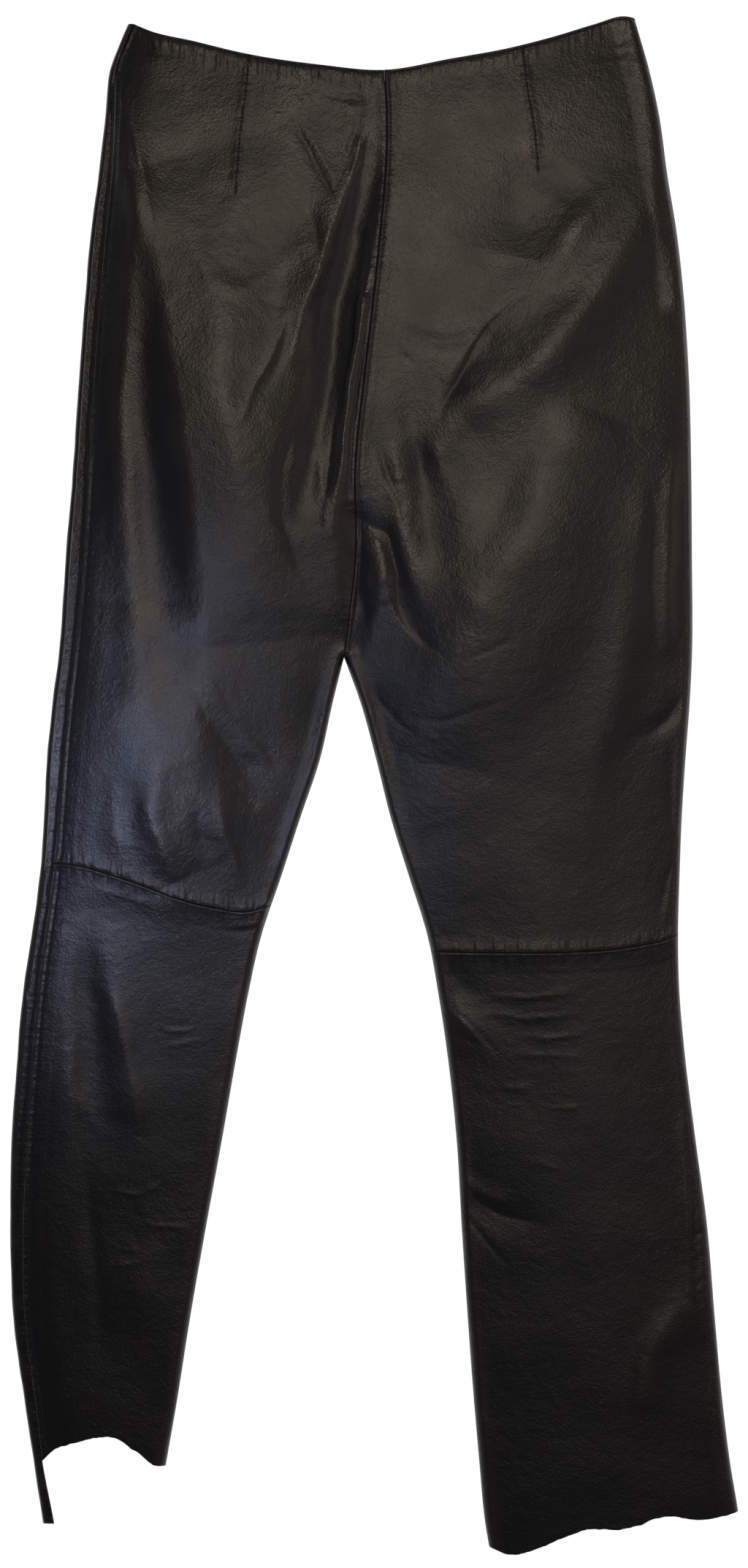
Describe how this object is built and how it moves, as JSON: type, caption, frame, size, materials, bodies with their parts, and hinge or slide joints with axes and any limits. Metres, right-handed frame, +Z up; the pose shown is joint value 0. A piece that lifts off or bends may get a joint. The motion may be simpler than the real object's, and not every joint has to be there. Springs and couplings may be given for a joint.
{
  "type": "leather trousers",
  "caption": "Black nappa leather trousers laid flat, back uppermost, with a darted bandless high waist, centre seam, knee seams and raw uneven hems.",
  "frame": {"origin": "centre of the outline on the surface that the trousers lie on", "axes": "+Y along the garment towards the waist, +Z up out of the back panels that face up, +X towards the wearer's right"},
  "size_m": [0.498, 1.0501, 0.0234],
  "materials": {
    "leather": "semi-gloss black nappa with a fine grain, worn soft",
    "leather_under": "the same nappa on the front panels, napped flesh side within",
    "zip_tape": "woven black tape with a closed nylon coil"
  },
  "bodies": {
    "root": {"back_left_upper": "leather", "back_right_upper": "leather", "back_left_lower": "leather", "back_right_lower": "leather", "front_left_upper": "leather_under", "front_left_lower": "leather_under", "front_right_upper": "leather_under", "front_right_lower": "leather_under", "side_zip": "zip_tape"}
  },
  "joints": []
}
